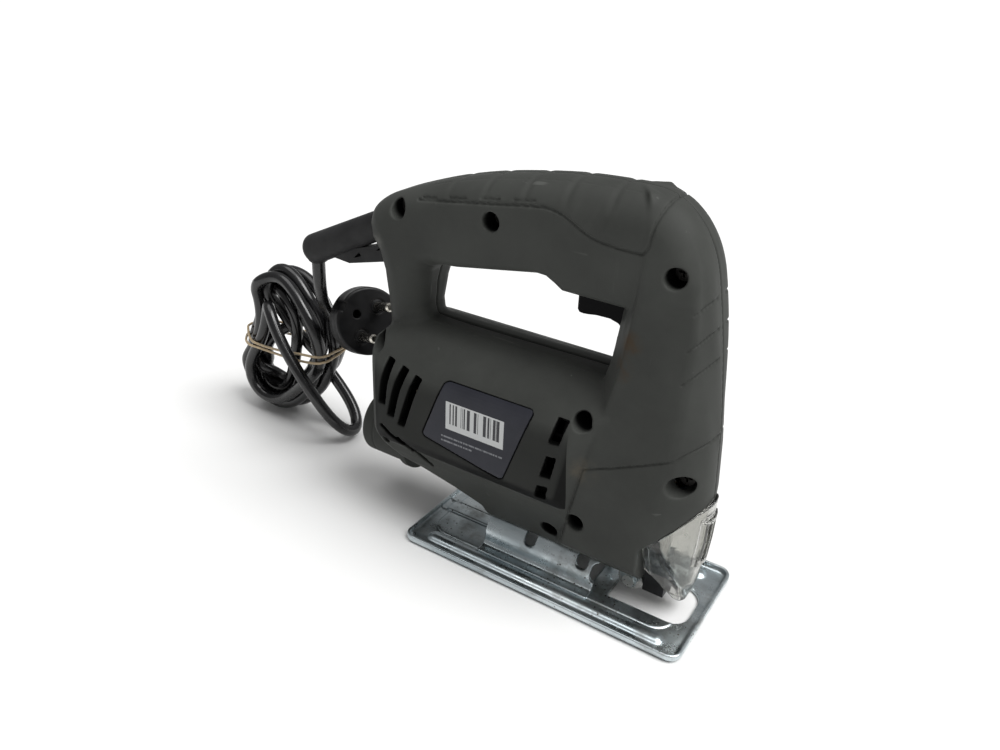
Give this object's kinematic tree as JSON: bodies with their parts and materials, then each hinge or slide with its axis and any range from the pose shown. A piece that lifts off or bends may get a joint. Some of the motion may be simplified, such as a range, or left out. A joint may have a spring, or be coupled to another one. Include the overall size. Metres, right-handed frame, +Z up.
{
  "type": "jigsaw",
  "caption": "Corded jigsaw with a closed handle, a tilting sole plate, a clear guard, a reciprocating blade clamp and a tied mains cord.",
  "frame": {"origin": "centre of the sole plate's underside", "axes": "+X forward in the sawing direction, +Y to the tool's left, +Z up"},
  "size_m": [0.3179, 0.0792, 0.1955],
  "materials": {
    "housing": "matte warm grey nylon",
    "label": "satin printed film",
    "black_plastic": "satin",
    "clear_plastic": "clear moulding",
    "rubber_black": "satin rubber",
    "zinc_steel": "zinc plated sheet",
    "steel": "machined",
    "black_steel": "blackened",
    "lamination": "stacked sheet",
    "copper": "enamelled copper",
    "bronze": "sintered",
    "brass": "plain",
    "carbon": "graphite",
    "cast_aluminium": "die cast",
    "capacitor_film": "dipped",
    "felt": "felt",
    "band_rubber": "natural rubber",
    "pin_metal": "nickel plated"
  },
  "bodies": {
    "tool": {"right_shell": "housing", "left_shell": "housing", "right_label": "label", "left_label": "label", "housing_screws": "steel", "dust_port": "housing", "switch_body": "black_plastic", "capacitor": "capacitor_film", "cord_clamp": "black_plastic", "cord_clamp_screws": "steel", "cord_sleeve": "rubber_black", "key_holder": "rubber_black", "stator_core": "lamination", "field_coils": "copper", "brush_holders": "brass", "carbon_brushes": "carbon", "brush_springs": "steel", "rear_bearing": "steel", "bearing_boot": "rubber_black", "front_bearing": "steel", "gear_frame": "cast_aluminium", "gear_frame_screws": "steel", "gear_axle": "steel", "upper_bush": "bronze", "lower_bush": "bronze", "dust_seal": "felt", "roller_bracket": "zinc_steel", "roller_pin": "steel", "base_clamp_screws": "steel", "clamp_plate": "zinc_steel", "clamp_nuts": "steel", "trigger_spring": "steel", "power_cord": "rubber_black", "cord_hank": "rubber_black", "hank_band": "band_rubber", "plug_body": "rubber_black", "plug_pins": "pin_metal", "blade_guard": "clear_plastic"},
    "gear": {"drive_gear": "steel", "crank_pin": "steel", "crank_roller": "steel"},
    "armature": {"armature_shaft": "steel", "armature_core": "lamination", "armature_windings": "copper", "commutator": "copper", "cooling_fan": "black_plastic"},
    "plunger_set": {"plunger": "steel", "plunger_yoke": "steel", "blade_clamp": "black_steel", "blade_clamp_screws": "steel"},
    "trigger_button": {"trigger": "black_plastic"},
    "lock": {"lock_button": "black_plastic"},
    "roller": {"guide_roller": "steel"},
    "base": {"base_plate": "zinc_steel", "tilt_bracket": "zinc_steel"}
  },
  "joints": [
    {"name": "gear_spin", "type": "hinge", "parent": "tool", "child": "gear", "pos_m": [0.033, 0, 0.1038], "axis": [1, 0, 0], "continuous": true},
    {"name": "armature_spin", "type": "hinge", "parent": "tool", "child": "armature", "pos_m": [0, 0, 0.08], "axis": [1, 0, 0], "continuous": true},
    {"name": "plunger_stroke", "type": "slide", "parent": "tool", "child": "plunger_set", "axis": [0, 0, 1], "range_m": [0, 0.018]},
    {"name": "trigger_press", "type": "slide", "parent": "tool", "child": "trigger_button", "axis": [0, 0, 1], "range_m": [0, 0.005], "stiffness_N_per_m": 600, "springref_m": -0.004, "deforming": ["trigger_spring"]},
    {"name": "lock_press", "type": "slide", "parent": "tool", "child": "lock", "axis": [0, -1, 0], "range_m": [0, 0.0035], "stiffness_N_per_m": 500, "springref_m": -0.002},
    {"name": "roller_spin", "type": "hinge", "parent": "tool", "child": "roller", "pos_m": [0.0375, 0, 0.008], "axis": [0, 1, 0], "continuous": true},
    {"name": "sole_tilt", "type": "hinge", "parent": "tool", "child": "base", "pos_m": [0, 0, 0.004], "axis": [1, 0, 0], "range_deg": [-45, 45]}
  ],
  "couplings": [
    {"joint": "armature_spin", "follows": "gear_spin", "ratio": -7.5}
  ]
}
